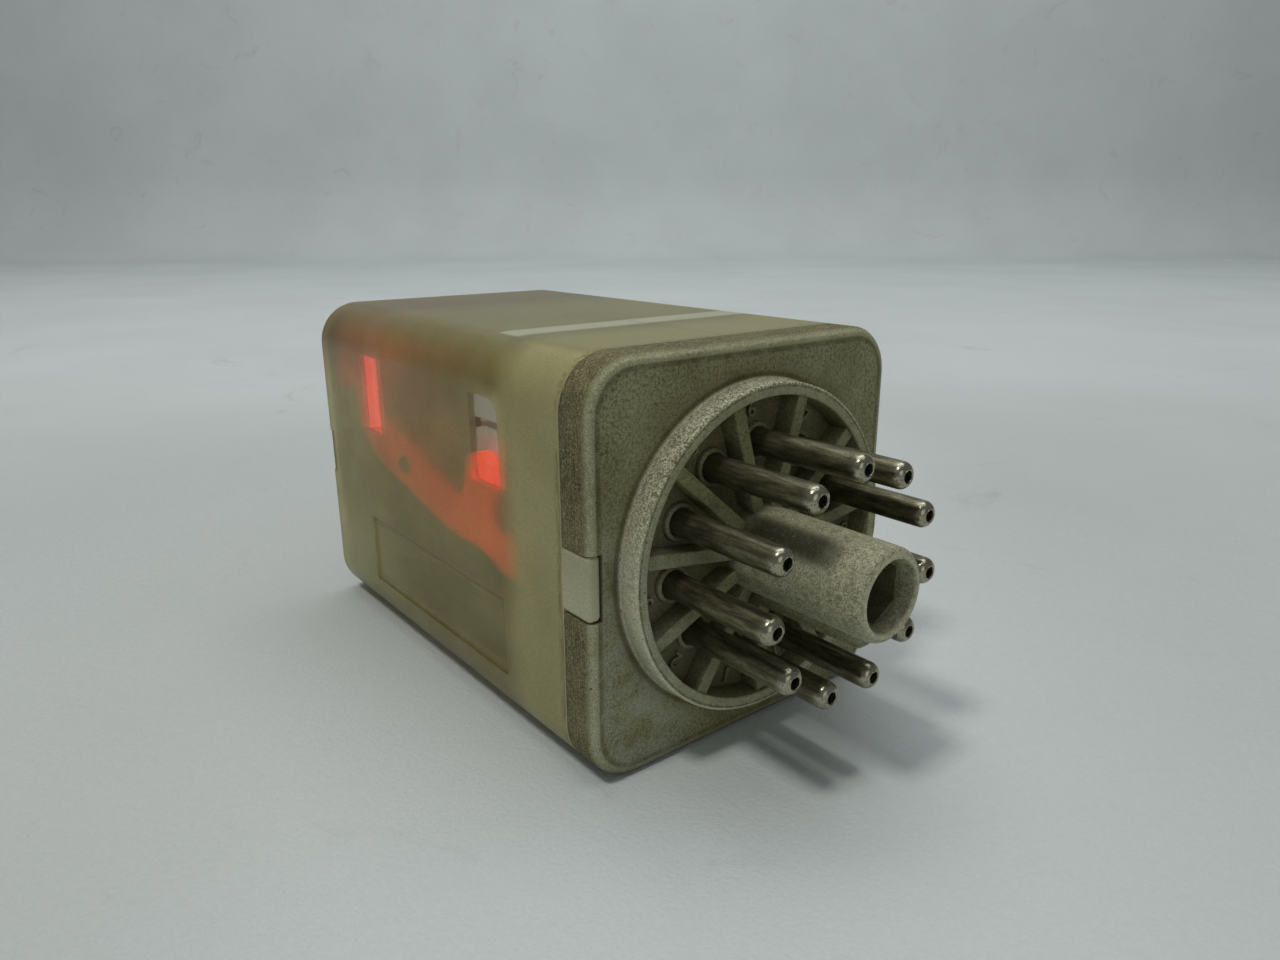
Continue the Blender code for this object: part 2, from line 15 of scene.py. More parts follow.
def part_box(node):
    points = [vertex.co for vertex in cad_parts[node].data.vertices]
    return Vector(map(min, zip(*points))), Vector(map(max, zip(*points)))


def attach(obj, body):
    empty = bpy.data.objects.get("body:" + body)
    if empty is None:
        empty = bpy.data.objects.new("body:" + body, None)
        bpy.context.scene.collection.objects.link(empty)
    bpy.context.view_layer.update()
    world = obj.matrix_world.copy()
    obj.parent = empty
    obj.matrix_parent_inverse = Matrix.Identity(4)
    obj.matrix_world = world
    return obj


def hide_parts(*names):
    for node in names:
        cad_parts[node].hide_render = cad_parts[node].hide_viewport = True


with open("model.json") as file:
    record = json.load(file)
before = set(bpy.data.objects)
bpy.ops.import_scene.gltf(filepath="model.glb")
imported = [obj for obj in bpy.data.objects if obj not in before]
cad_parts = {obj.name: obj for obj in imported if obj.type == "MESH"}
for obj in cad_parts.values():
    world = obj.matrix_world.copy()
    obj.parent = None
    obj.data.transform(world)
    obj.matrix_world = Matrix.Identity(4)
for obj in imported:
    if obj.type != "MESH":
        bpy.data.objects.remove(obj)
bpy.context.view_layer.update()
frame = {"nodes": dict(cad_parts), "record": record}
nodes = frame["nodes"]


base_lo, base_hi = (Vector(c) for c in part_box("base"))
cover_lo, cover_hi = (Vector(c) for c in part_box("cover"))
SPIGOT_TIP = 15.3
SHIFT_X = base_hi.x * 1000 - SPIGOT_TIP         # front face of the base
LENGTH = -(cover_lo.x * 1000 - SHIFT_X)          # to the far end of the cover
WIDTH = (cover_hi.y - cover_lo.y) * 1000
HEIGHT = (cover_hi.z - cover_lo.z) * 1000
MID_Z = HEIGHT / 2
CORNER_R = 4.7
SEAM_X = -3.6
PIN_CIRCLE_R = 19.05 / 2


def at(x, y, z):
    return Vector(((x + SHIFT_X) / 1000, y / 1000, z / 1000))


# ------------------------------------------------------------ node materials
class Look:
    """A node material whose coordinates are millimetres in the design's frame."""

    def __init__(self, name):
        self.material = bpy.data.materials.new(name)
        self.material.use_nodes = True
        self.tree = self.material.node_tree
        self.shader = self.tree.nodes["Principled BSDF"]
        coord = self.node("ShaderNodeTexCoord")
        scale = self.node("ShaderNodeVectorMath", operation="MULTIPLY_ADD")
        self.tree.links.new(coord.outputs["Object"], scale.inputs[0])
        scale.inputs[1].default_value = (1000, 1000, 1000)
        scale.inputs[2].default_value = (-SHIFT_X, 0, 0)
        self.mm = scale.outputs[0]
        split = self.node("ShaderNodeSeparateXYZ")
        self.tree.links.new(self.mm, split.inputs[0])
        self.x, self.y, self.z = split.outputs

    def node(self, kind, **settings):
        made = self.tree.nodes.new(kind)
        for key, value in settings.items():
            setattr(made, key, value)
        return made

    def put(self, value, socket):
        if isinstance(value, bpy.types.NodeSocket):
            self.tree.links.new(value, socket)
        elif isinstance(value, tuple) and len(value) == 3 and socket.type == "RGBA":
            socket.default_value = (*value, 1)
        else:
            socket.default_value = value

    def math(self, operation, a, b=0.0, c=0.0, clamp=False):
        made = self.node("ShaderNodeMath", operation=operation, use_clamp=clamp)
        for i, value in enumerate((a, b, c)):
            self.put(value, made.inputs[i])
        return made.outputs[0]

    def add(self, *values):
        total = values[0]
        for value in values[1:]:
            total = self.math("ADD", total, value)
        return total

    def mul(self, *values):
        total = values[0]
        for value in values[1:]:
            total = self.math("MULTIPLY", total, value)
        return total

    def inv(self, value):
        return self.math("SUBTRACT", 1.0, value, clamp=True)

    def ramp(self, value, low, high, out_low=0.0, out_high=1.0):
        """Smooth step from low to high."""
        made = self.node("ShaderNodeMapRange", interpolation_type="SMOOTHSTEP")
        for i, v in enumerate((value, low, high, out_low, out_high)):
            self.put(v, made.inputs[i])
        return made.outputs[0]

    def band(self, value, low, high, soft):
        """1 between low and high, with soft edges."""
        return self.mul(
            self.ramp(value, low - soft, low + soft), self.inv(self.ramp(value, high - soft, high + soft))
        )

    def stretched(self, sx, sy, sz):
        made = self.node("ShaderNodeVectorMath", operation="MULTIPLY")
        self.put(self.mm, made.inputs[0])
        made.inputs[1].default_value = (sx, sy, sz)
        return made.outputs[0]

    def noise(self, scale, detail=3.0, rough=0.55, where=None, distort=0.0, seed=0.0):
        made = self.node("ShaderNodeTexNoise", noise_dimensions="3D")
        where = where or self.mm
        if seed:
            shift = self.node("ShaderNodeVectorMath", operation="ADD")
            self.put(where, shift.inputs[0])
            shift.inputs[1].default_value = (seed, seed * 1.7, -seed)
            where = shift.outputs[0]
        self.put(where, made.inputs["Vector"])
        made.inputs["Scale"].default_value = scale
        made.inputs["Detail"].default_value = detail
        made.inputs["Roughness"].default_value = rough
        made.inputs["Distortion"].default_value = distort
        return made.outputs[0]

    def cells(self, scale, where=None, randomness=1.0):
        made = self.node("ShaderNodeTexVoronoi", feature="F1")
        self.put(where or self.mm, made.inputs["Vector"])
        made.inputs["Scale"].default_value = scale
        made.inputs["Randomness"].default_value = randomness
        return made.outputs["Distance"]

    def mix(self, share, a, b, blend="MIX"):
        made = self.node("ShaderNodeMix", data_type="RGBA", blend_type=blend)
        self.put(share, made.inputs[0])
        self.put(a, made.inputs[6])
        self.put(b, made.inputs[7])
        return made.outputs[2]

    def blend(self, share, a, b):
        made = self.node("ShaderNodeMix", data_type="FLOAT")
        self.put(share, made.inputs[0])
        self.put(a, made.inputs[2])
        self.put(b, made.inputs[3])
        return made.outputs[0]

    def bump(self, height, strength, distance_mm, normal=None):
        made = self.node("ShaderNodeBump")
        made.inputs["Strength"].default_value = strength
        made.inputs["Distance"].default_value = distance_mm / 1000
        self.put(height, made.inputs["Height"])
        if normal is not None:
            self.put(normal, made.inputs["Normal"])
        return made.outputs[0]

    def dirt(self, reach_mm, samples=6):
        """Painted shade from ambient occlusion: 1 in corners and hollows, 0 in the open."""
        made = self.node("ShaderNodeAmbientOcclusion")
        made.samples = samples
        made.inputs["Distance"].default_value = reach_mm / 1000
        return self.inv(made.outputs["AO"])

    def set(self, **values):
        for key, value in values.items():
            self.put(value, self.shader.inputs[key.replace("_", " ")])
        return self.material

    def axis_distance(self):
        """Distance from the spigot's axis."""
        dz = self.math("SUBTRACT", self.z, MID_Z)
        return self.math("SQRT", self.add(self.mul(self.y, self.y), self.mul(dz, dz)))

    def rim_distance(self):
        """Signed distance to the case outline in the YZ plane, negative inside."""
        qy = self.math("SUBTRACT", self.math("ABSOLUTE", self.y), WIDTH / 2 - CORNER_R)
        qz = self.math(
            "SUBTRACT", self.math("ABSOLUTE", self.math("SUBTRACT", self.z, MID_Z)), HEIGHT / 2 - CORNER_R
        )
        oy, oz = self.math("MAXIMUM", qy, 0.0), self.math("MAXIMUM", qz, 0.0)
        outside = self.math("SQRT", self.add(self.mul(oy, oy), self.mul(oz, oz)))
        inside = self.math("MINIMUM", self.math("MAXIMUM", qy, qz), 0.0)
        return self.add(outside, inside, -CORNER_R)


def base_look():
    k = Look("aged_base_plastic")
    r, rim = k.axis_distance(), k.rim_distance()
    clouds = k.noise(0.22, 4, 0.6, seed=3.1)
    fine = k.noise(3.2, 4, 0.7, seed=9.4)
    grain = k.noise(8.5, 3, 0.8, seed=1.9)
    body = k.mix(k.ramp(clouds, 0.30, 0.70), (0.200, 0.192, 0.084), (0.300, 0.300, 0.160))
    body = k.mix(k.mul(k.ramp(fine, 0.46, 0.62), 0.60), body, (0.110, 0.102, 0.048))
    film = k.mul(k.band(k.y, -18.0, -8.0, 4.0), k.inv(k.ramp(k.z, 19.0, 27.0)), k.ramp(k.noise(0.35, 4, 0.7, seed=51.0), 0.36, 0.60))
    body = k.mix(k.mul(film, 0.65), body, (0.36, 0.375, 0.285))

    # Pale dust lies on the outside of the collar, the spigot and the worn edge.
    front = k.ramp(k.x, -0.25, -0.05)
    collar = k.mul(k.ramp(r, 14.55, 14.72), k.inv(k.ramp(r, 15.0, 15.3)), k.ramp(k.x, 0.05, 0.4))
    ledge = k.mul(k.band(r, 13.68, 14.6, 0.08), k.ramp(k.x, 2.1, 2.3))
    spigot = k.mul(k.inv(k.ramp(r, 4.3, 4.8)), k.ramp(k.x, 1.0, 3.0))
    ridge = k.mul(k.band(rim, -0.80, -0.12, 0.14), k.ramp(k.x, -0.95, -0.5))
    # Painted shade down the hexagon bore, darkening it inside.
    bore_shade = k.mul(k.inv(k.ramp(r, 2.90, 2.98)), k.inv(k.ramp(k.x, 13.5, 14.4)))
    lip = k.mul(k.band(r, 2.85, 3.5, 0.15), k.ramp(k.x, 14.9, 15.2))
    pale = k.math("MAXIMUM", collar, k.math("MAXIMUM", k.mul(spigot, 0.50), k.mul(ridge, k.ramp(fine, 0.36, 0.62), 0.42)))
    pale = k.math("MAXIMUM", pale, k.math("MAXIMUM", k.mul(ledge, 0.25), k.mul(lip, 0.7)))
    dust = k.ramp(k.noise(1.6, 5, 0.75, seed=5.5), 0.33, 0.60)
    body = k.mix(k.mul(pale, k.blend(dust, 0.6, 1.0)), body, (0.60, 0.60, 0.43))

    # Grime and painted shade: grime on the side band and the line inside the front edge, grime with painted shade in
    # every hollow and on the recess floor, painted shade down the bore and at the collar's foot.
    streaks = k.noise(1.0, 5, 0.75, where=k.stretched(6.0, 1.3, 0.40), distort=0.10)
    flecks = k.noise(1.0, 4, 0.8, where=k.stretched(8.5, 5.0, 4.2), seed=2.2)
    side = k.mul(k.ramp(rim, -0.50, -0.15), k.inv(k.ramp(k.add(k.x, k.mul(fine, 0.9)), -0.45, 0.25)))
    seam = k.band(k.x, SEAM_X - 0.2, SEAM_X + 0.2, 0.12)
    band_dirt = k.math("MAXIMUM", k.ramp(streaks, 0.44, 0.56, 0.15, 0.95), k.ramp(flecks, 0.46, 0.54))
    band_dirt = k.mul(side, k.math("MAXIMUM", band_dirt, k.mul(seam, 0.9)), k.ramp(grain, 0.25, 0.55, 0.55, 1.0))
    line = k.mul(k.band(rim, -1.30, -0.86, 0.13), front, k.ramp(k.noise(0.8, 4, 0.7, seed=7.7), 0.22, 0.58))
    near_line = k.mul(k.band(rim, -3.2, -0.9, 0.7), front, k.ramp(fine, 0.42, 0.7), 0.45)
    specks = k.mul(k.ramp(k.noise(6.0, 3, 0.7, seed=12.5), 0.58, 0.66), 0.8)
    worn = k.mul(collar, k.ramp(k.z, 12.0, 28.0), k.ramp(k.noise(4.8, 4, 0.8, seed=61.0), 0.46, 0.54), 0.85)
    spots = k.mul(k.ramp(k.noise(1.9, 2, 0.5, seed=21.5), 0.70, 0.74), 0.85)
    # Grime with painted shade in every hollow, from occlusion.
    hollow_grime_shade = k.mul(k.dirt(2.4), k.ramp(fine, 0.1, 0.6, 0.75, 1.15))
    # Grime with painted shade on the recess floor inside the collar, lighter up the bosses and ribs.
    recess_grime_shade = k.mul(k.inv(k.ramp(r, 13.55, 13.8)), k.ramp(r, 4.0, 4.6), k.blend(k.ramp(k.x, 0.10, 0.22), 1.0, 0.25))
    # Painted shade in the corner at the foot of the collar on the front face.
    collar_foot_shade = k.mul(k.band(r, 14.7, 15.5, 0.2), front, k.inv(k.ramp(k.x, 0.02, 0.3)))
    ring = k.mul(k.band(r, 14.45, 14.62, 0.08), k.ramp(k.x, 2.0, 2.3))
    grime_and_shade = k.math("MAXIMUM", band_dirt, k.math("MAXIMUM", k.mul(line, 0.6), near_line))
    grime_and_shade = k.math("MAXIMUM", grime_and_shade, k.math("MAXIMUM", k.mul(specks, 0.8), spots))
    grime_and_shade = k.math("MAXIMUM", grime_and_shade, worn)
    grime_and_shade = k.math("MAXIMUM", grime_and_shade, k.math("MINIMUM", k.mul(hollow_grime_shade, 0.85), 0.82))
    grime_and_shade = k.math("MAXIMUM", grime_and_shade, k.mul(bore_shade, 0.85))
    grime_and_shade = k.math("MAXIMUM", grime_and_shade, k.mul(ring, k.ramp(fine, 0.3, 0.6), 0.8))
    grime_and_shade = k.math("MAXIMUM", grime_and_shade, k.math("MAXIMUM", k.mul(recess_grime_shade, 0.62), k.mul(collar_foot_shade, 0.7)), clamp=True)
    brown = k.mix(k.ramp(clouds, 0.35, 0.65), (0.044, 0.037, 0.014), (0.090, 0.072, 0.026))
    body = k.mix(k.mul(side, 0.5), body, (0.27, 0.245, 0.105))
    colour = k.mix(grime_and_shade, body, brown)
    # Dark smears along the spigot, rubbed in by sockets, a painted shadow of a pin across its top, and sandy grains
    # where dirt is thick.
    facing = k.add(k.mul(k.y, -0.643), k.mul(k.add(k.z, -18.2), 0.766))
    # Painted shadow of the pin above, lying across the top of the spigot and joining the rubbing.
    pin_shadow = k.mul(k.ramp(facing, 3.45, 3.95), k.band(k.x, 2.0, 11.2, 1.6), k.inv(k.ramp(r, 4.3, 4.6)))
    rub_and_pin_shadow = k.mul(spigot, k.ramp(k.noise(1.0, 4, 0.75, where=k.stretched(1.2, 1.8, 1.8), seed=31.0), 0.48, 0.66), 0.55)
    rub_and_pin_shadow = k.math("MAXIMUM", rub_and_pin_shadow, k.mul(pin_shadow, k.ramp(fine, 0.20, 0.50, 0.55, 0.95)))
    rub_and_pin_shadow = k.math("MAXIMUM", rub_and_pin_shadow, k.mul(spigot, k.ramp(k.noise(5.5, 3, 0.8, seed=17.0), 0.48, 0.60), 0.6))
    colour = k.mix(k.mul(rub_and_pin_shadow, k.inv(lip)), colour, (0.065, 0.056, 0.026))
    sand = k.mul(side, k.ramp(k.noise(6.0, 3, 0.85, seed=40.0), 0.53, 0.60), 0.75)
    colour = k.mix(sand, colour, (0.38, 0.345, 0.165))
    colour = k.mix(k.ramp(grain, 0.30, 0.70), k.mix(1.0, colour, (0.62, 0.62, 0.60), "MULTIPLY"), k.mix(1.0, colour, (1.38, 1.38, 1.40), "MULTIPLY"))
    rough = k.blend(grime_and_shade, k.blend(fine, 0.5, 0.66), 0.82)
    step = k.ramp(rim, -1.05, -0.80)
    height = k.add(k.mul(fine, 0.4), k.mul(grain, 0.35), k.mul(grime_and_shade, 0.3), k.mul(step, front, 1.6))
    normal = k.bump(height, 0.5, 0.10)
    return k.set(Base_Color=colour, Roughness=rough, Normal=normal, Specular_IOR_Level=0.35)


def cover_look():
    k = Look("frosted_cover")
    side = k.ramp(k.y, -17.0, -17.6)                     # outer face of the wall with the windows
    wall = k.inv(k.ramp(k.y, -16.4, -16.2))               # both of its faces

    def window(x0, x1, z0, z1, soft):
        inside = k.mul(k.band(k.x, x0, x1, soft), k.band(k.z, z0, z1, soft))
        return k.mul(inside, wall)

    corner = k.math("MAXIMUM", k.add(k.x, 14.9), 0.0), k.math("MAXIMUM", k.add(k.z, -29.7), 0.0)
    corner = k.math("SQRT", k.add(k.mul(corner[0], corner[0]), k.mul(corner[1], corner[1])))
    near_window = k.mul(window(-18.2, -13.2, 23.3, 31.4, 0.14), k.inv(k.ramp(corner, 1.55, 1.8)))
    clear = k.math("MAXIMUM", near_window, window(-43.0, -38.7, 23.5, 31.8, 0.14))
    clouds = k.noise(0.11, 3, 0.55, seed=4.0)
    fine = k.noise(4.5, 4, 0.72, seed=8.8)
    grain = k.noise(8.5, 3, 0.8, seed=28.8)
    streaky = k.noise(1.0, 4, 0.65, where=k.stretched(2.4, 2.4, 0.30), seed=6.0)
    colour = k.mix(k.ramp(clouds, 0.35, 0.68), (0.45, 0.410, 0.185), (0.56, 0.52, 0.265))
    near = k.ramp(k.x, -14.5, -9.0)                       # the base block behind this end
    colour = k.mix(k.mul(near, 0.6), colour, (0.30, 0.275, 0.140))
    top = k.ramp(k.z, 36.0, 36.3)
    colour = k.mix(k.mul(top, 0.6), colour, (0.29, 0.255, 0.085))
    across = k.math("ABSOLUTE", k.y)
    strip = k.mul(k.band(k.x, -18.5, -15.1, 0.12), top, k.inv(k.ramp(across, 13.9, 14.3)))
    parting = k.mul(k.inv(k.ramp(across, 0.04, 0.14)), top, k.band(k.x, -18.0, -3.8, 0.2))
    colour = k.mix(k.mul(strip, 0.8), colour, (0.45, 0.45, 0.34))
    label = k.mul(k.band(k.x, -43.4, -13.6, 0.1), k.band(k.z, 5.4, 12.9, 0.1), side)
    inner = k.mul(k.band(k.x, -42.7, -14.3, 0.08), k.band(k.z, 6.1, 12.2, 0.08))
    edge = k.mul(k.inv(k.mul(k.band(k.x, -43.1, -13.9, 0.12), k.band(k.z, 5.7, 12.6, 0.12), side)), label)
    groove = k.mul(label, k.inv(inner), k.mul(k.band(k.x, -42.95, -14.05, 0.08), k.band(k.z, 5.85, 12.45, 0.08)))
    specks = k.mul(k.ramp(k.noise(6.0, 3, 0.7, seed=14.0), 0.63, 0.71), 0.5)
    tongue = k.mul(k.ramp(k.x, SEAM_X - 0.25, SEAM_X - 0.0), k.ramp(across, 16.0, 16.3))
    seam = k.mul(k.band(k.x, SEAM_X - 0.8, SEAM_X - 0.0, 0.2), k.inv(tongue), k.ramp(streaky, 0.40, 0.62))
    # Painted shade: the bottom edge darker down towards the floor.
    low = k.inv(k.ramp(k.z, 0.4, 3.4))
    moss = k.mul(side, k.band(k.x, -40.0, -30.0, 4.0), k.band(k.z, 8.0, 14.0, 3.0), k.ramp(fine, 0.30, 0.75))
    grime_and_shade = k.math("MAXIMUM", k.mul(seam, 0.55), k.mul(low, k.ramp(fine, 0.3, 0.7), 0.6))
    grime_and_shade = k.math("MAXIMUM", grime_and_shade, k.math("MAXIMUM", specks, k.math("MAXIMUM", k.mul(edge, 0.5), k.mul(groove, 0.45))))
    grime_and_shade = k.math("MAXIMUM", grime_and_shade, k.mul(parting, 0.6))
    grime_and_shade = k.math("MAXIMUM", grime_and_shade, k.mul(label, k.ramp(clouds, 0.4, 0.6), 0.12), clamp=True)
    grime_and_shade = k.mul(grime_and_shade, k.inv(clear))
    colour = k.mix(k.mul(moss, 0.45), colour, (0.25, 0.26, 0.06))
    colour = k.mix(grime_and_shade, colour, (0.10, 0.080, 0.034))
    colour = k.mix(tongue, colour, k.mix(k.ramp(k.z, 15.6, 20.6), (0.46, 0.46, 0.315), (0.38, 0.375, 0.24)))
    # Painted glow of the orange lever seen through the frost: the far top corner is tinted red-brown and lets less
    # through.
    lever_glow = k.mul(k.ramp(k.x, -35.0, -45.0), k.ramp(k.z, 27.0, 33.5), k.inv(clear))
    colour = k.mix(k.mul(lever_glow, 0.6), colour, (0.17, 0.095, 0.050))
    speck = k.mul(k.ramp(k.noise(7.5, 2, 0.8, seed=66.0), 0.55, 0.66), k.inv(clear))
    colour = k.mix(k.mul(k.ramp(grain, 0.28, 0.72), k.inv(clear)), k.mix(1.0, colour, (0.90, 0.90, 0.88), "MULTIPLY"), k.mix(1.0, colour, (1.34, 1.34, 1.32), "MULTIPLY"))
    colour = k.mix(k.mul(speck, 0.22), colour, (0.18, 0.16, 0.070))
    colour = k.mix(clear, colour, (0.80, 0.82, 0.78))
    through = k.blend(near, 0.78, 0.20)
    through = k.blend(k.mul(top, 0.5), through, 0.45)
    through = k.blend(strip, through, 0.20)
    through = k.blend(tongue, through, 0.10)
    through = k.blend(grime_and_shade, through, 0.10)
    through = k.blend(k.mul(lever_glow, 0.5), through, 0.35)
    through = k.blend(clear, through, 1.0)
    rough = k.blend(clear, k.blend(fine, 0.28, 0.36), 0.02)
    height = k.add(k.mul(fine, 0.6), k.mul(streaky, 0.25))
    normal = k.bump(k.mul(k.add(height, k.mul(grain, 0.10)), k.inv(clear)), 0.18, 0.06)
    return k.set(
        Base_Color=colour, Roughness=rough, Transmission_Weight=through, Normal=normal, IOR=1.25,
        Specular_IOR_Level=0.25,
    )


def pin_look():
    k = Look("worn_tinned_pin")
    smear = k.noise(1.0, 4, 0.6, where=k.stretched(0.45, 3.2, 3.2), seed=2.0)
    fine = k.noise(5.0, 4, 0.7, seed=5.0)
    root = k.inv(k.ramp(k.x, 0.6, 4.2))
    tip = k.ramp(k.x, 10.9, 12.0)
    colour = k.mix(k.ramp(smear, 0.30, 0.70), (0.105, 0.096, 0.052), (0.255, 0.240, 0.150))
    colour = k.mix(k.mul(root, 0.65), colour, (0.075, 0.060, 0.026))
    colour = k.mix(k.mul(tip, 0.65), colour, (0.46, 0.44, 0.33))
    pits = k.mul(k.ramp(fine, 0.54, 0.64), 0.75)
    colour = k.mix(pits, colour, (0.035, 0.030, 0.018))
    rough = k.blend(tip, k.add(0.26, k.mul(smear, 0.22)), 0.20)
    rough = k.math("MAXIMUM", rough, k.mul(root, 0.5))
    normal = k.bump(k.add(k.mul(fine, 0.4), smear), 0.25, 0.06)
    return k.set(Base_Color=colour, Metallic=k.blend(pits, k.blend(root, 0.95, 0.6), 0.3), Roughness=rough, Normal=normal)


def orange_look():
    k = Look("glowing_orange_moulding")
    flow = k.noise(0.4, 3, 0.5)
    colour = k.mix(k.ramp(flow, 0.35, 0.65), (0.88, 0.085, 0.022), (0.95, 0.13, 0.035))
    # Painted light: the lever glows in its own orange so that it shows bright through the frosted cover.
    k.shader.inputs["Emission Color"].default_value = (1.0, 0.085, 0.030, 1)
    k.shader.inputs["Emission Strength"].default_value = 0.74
    return k.set(Base_Color=colour, Roughness=k.blend(flow, 0.28, 0.4), Normal=k.bump(k.noise(6, 2), 0.1, 0.03))


def moulded_look(name, dark, light, rough=0.5, scale=0.5):
    k = Look(name)
    clouds = k.noise(scale, 4, 0.6)
    fine = k.noise(6.0, 3, 0.6, seed=3.0)
    colour = k.mix(k.ramp(clouds, 0.3, 0.7), dark, light)
    # Painted shade in corners, from occlusion.
    colour = k.mix(k.mul(k.dirt(1.2, 4), 0.5), colour, (dark[0] * 0.3, dark[1] * 0.28, dark[2] * 0.24))
    return k.set(Base_Color=colour, Roughness=k.blend(fine, rough - 0.06, rough + 0.1), Normal=k.bump(fine, 0.2, 0.04))


def metal_look(name, dark, light, rough=0.3, stretch=(0.4, 3.0, 3.0), metallic=1.0):
    k = Look(name)
    brushed = k.noise(1.0, 4, 0.6, where=k.stretched(*stretch))
    stains = k.noise(0.35, 3, 0.6, seed=11.0)
    colour = k.mix(k.ramp(brushed, 0.3, 0.7), dark, light)
    colour = k.mix(k.mul(k.ramp(stains, 0.52, 0.72), 0.5), colour, (dark[0] * 0.45, dark[1] * 0.4, dark[2] * 0.35))
    return k.set(
        Base_Color=colour, Metallic=metallic, Roughness=k.blend(brushed, rough - 0.06, rough + 0.12),
        Normal=k.bump(brushed, 0.15, 0.03),
    )


def block_look():
    k = Look("insulating_block")
    clouds = k.noise(0.5, 4, 0.6)
    fine = k.noise(6.0, 3, 0.6, seed=3.0)
    colour = k.mix(k.ramp(clouds, 0.3, 0.7), (0.66, 0.65, 0.55), (0.80, 0.79, 0.70))
    colour = k.mix(k.ramp(k.z, 27.0, 27.6), colour, (0.74, 0.78, 0.76))
    # Painted shade in corners, from occlusion.
    colour = k.mix(k.mul(k.dirt(1.0, 4), 0.4), colour, (0.20, 0.19, 0.13))
    # Painted light: the arms glow faintly in their own colour, standing in for light that the frosted cover keeps out.
    arm = k.ramp(k.math("ABSOLUTE", k.y), 12.9, 13.05)
    k.put(k.mix(arm, (0.0, 0.0, 0.0), colour), k.shader.inputs["Emission Color"])
    k.shader.inputs["Emission Strength"].default_value = 0.13
    return k.set(Base_Color=colour, Roughness=k.blend(fine, 0.42, 0.58), Normal=k.bump(fine, 0.2, 0.04))


LOOKS = {
    "base_plastic": base_look(),
    "cover_plastic": cover_look(),
    "tinned_pin": pin_look(),
    "orange_plastic": orange_look(),
    "block_plastic": block_look(),
    "bobbin_plastic": moulded_look("bobbin_moulding", (0.60, 0.58, 0.50), (0.74, 0.72, 0.64)),
    "coil_tape": moulded_look("coil_tape_film", (0.50, 0.40, 0.16), (0.66, 0.56, 0.28), 0.35, 0.25),
    "copper_wire": metal_look("enamelled_copper_wire", (0.38, 0.13, 0.05), (0.56, 0.22, 0.09), 0.3, (3, 0.4, 0.4), 0.85),
    "plated_steel": metal_look("zinc_plated_steel", (0.42, 0.42, 0.40), (0.60, 0.60, 0.57), 0.34),
    "spring_bronze": metal_look("spring_bronze_strip", (0.50, 0.30, 0.17), (0.68, 0.44, 0.26), 0.26),
    "brass_strip": metal_look("brass_strip_metal", (0.52, 0.38, 0.16), (0.70, 0.54, 0.27), 0.3),
    "silver_contact": metal_look("silver_alloy", (0.62, 0.61, 0.57), (0.80, 0.79, 0.75), 0.22),
    "tinned_wire": metal_look("tinned_lead", (0.46, 0.45, 0.41), (0.64, 0.62, 0.58), 0.32),
}


# ------------------------------------------------------------ mesh helpers
def add_object(name, mesh, look=None, smooth=35):
    made = bpy.data.objects.new(name, mesh)
    bpy.context.scene.collection.objects.link(made)
    if look:
        mesh.materials.clear()
        mesh.materials.append(look)
    if smooth and mesh.polygons:
        mesh.shade_smooth()
        mesh.set_sharp_from_angle(angle=math.radians(smooth))
    return made


def from_bm(bm, name):
    mesh = bpy.data.meshes.new(name)
    bmesh.ops.recalc_face_normals(bm, faces=bm.faces)
    bm.to_mesh(mesh)
    bm.free()
    return mesh


def cube_bm(lo, hi):
    bm = bmesh.new()
    bmesh.ops.create_cube(bm, size=1)
    low, high = at(*lo), at(*hi)
    for vertex in bm.verts:
        vertex.co = Vector([low[i] if vertex.co[i] < 0 else high[i] for i in range(3)])
    return bm


def soft_box(name, lo, hi, radius=0.0, segments=3):
    bm = cube_bm(lo, hi)
    if radius:
        bmesh.ops.bevel(
            bm, geom=list(bm.edges), offset=radius / 1000, segments=segments, profile=0.5, affect="EDGES"
        )
    return add_object(name, from_bm(bm, name))


def case_block(name, x0, x1, half, z0, z1, corner, front=0.0, back=0.0, steps=14, end_steps=6):
    bm = cube_bm((x0, -half, z0), (x1, half, z1))
    along = [e for e in bm.edges if abs((e.verts[0].co - e.verts[1].co).x) > 1e-6]
    bmesh.ops.bevel(bm, geom=along, offset=corner / 1000, segments=steps, profile=0.5, affect="EDGES")
    for where, size in ((at(x1, 0, 0).x, front), (at(x0, 0, 0).x, back)):
        if size:
            rim = [e for e in bm.edges if all(abs(v.co.x - where) < 1e-6 for v in e.verts)]
            bmesh.ops.bevel(bm, geom=rim, offset=size / 1000, segments=end_steps, profile=0.5, affect="EDGES")
    return add_object(name, from_bm(bm, name))


def turned(name, profile, origin, sides=48, axis="X", closed=False, look=None):
    """Lathe of (radius, position along the axis) points about an axis through origin (mm)."""
    bm = bmesh.new()
    centre = at(*origin)
    rings = []
    for r, h in profile:
        ring = []
        count = 1 if r < 1e-6 else sides
        for i in range(count):
            a = 2 * math.pi * i / sides
            u, v = r / 1000 * math.cos(a), r / 1000 * math.sin(a)
            offset = {"X": (h / 1000, u, v), "Y": (v, h / 1000, u), "Z": (u, v, h / 1000)}[axis]
            ring.append(bm.verts.new(centre + Vector(offset)))
        rings.append(ring)
    pairs = list(zip(rings, rings[1:])) + ([(rings[-1], rings[0])] if closed else [])
    for a, b in pairs:
        for i in range(sides):
            j = (i + 1) % sides
            corners = [a[i % len(a)], a[j % len(a)], b[j % len(b)], b[i % len(b)]]
            unique = list(dict.fromkeys(corners))
            if len(unique) > 2:
                bm.faces.new(unique)
    return add_object(name, from_bm(bm, name), look, 40)


def arc(cx, cy, r, start, end, steps):
    """Points of an arc, angles in degrees, as (radius, height) pairs."""
    return [
        (cx + r * math.cos(math.radians(start + (end - start) * i / steps)),
         cy + r * math.sin(math.radians(start + (end - start) * i / steps)))
        for i in range(steps + 1)
    ]


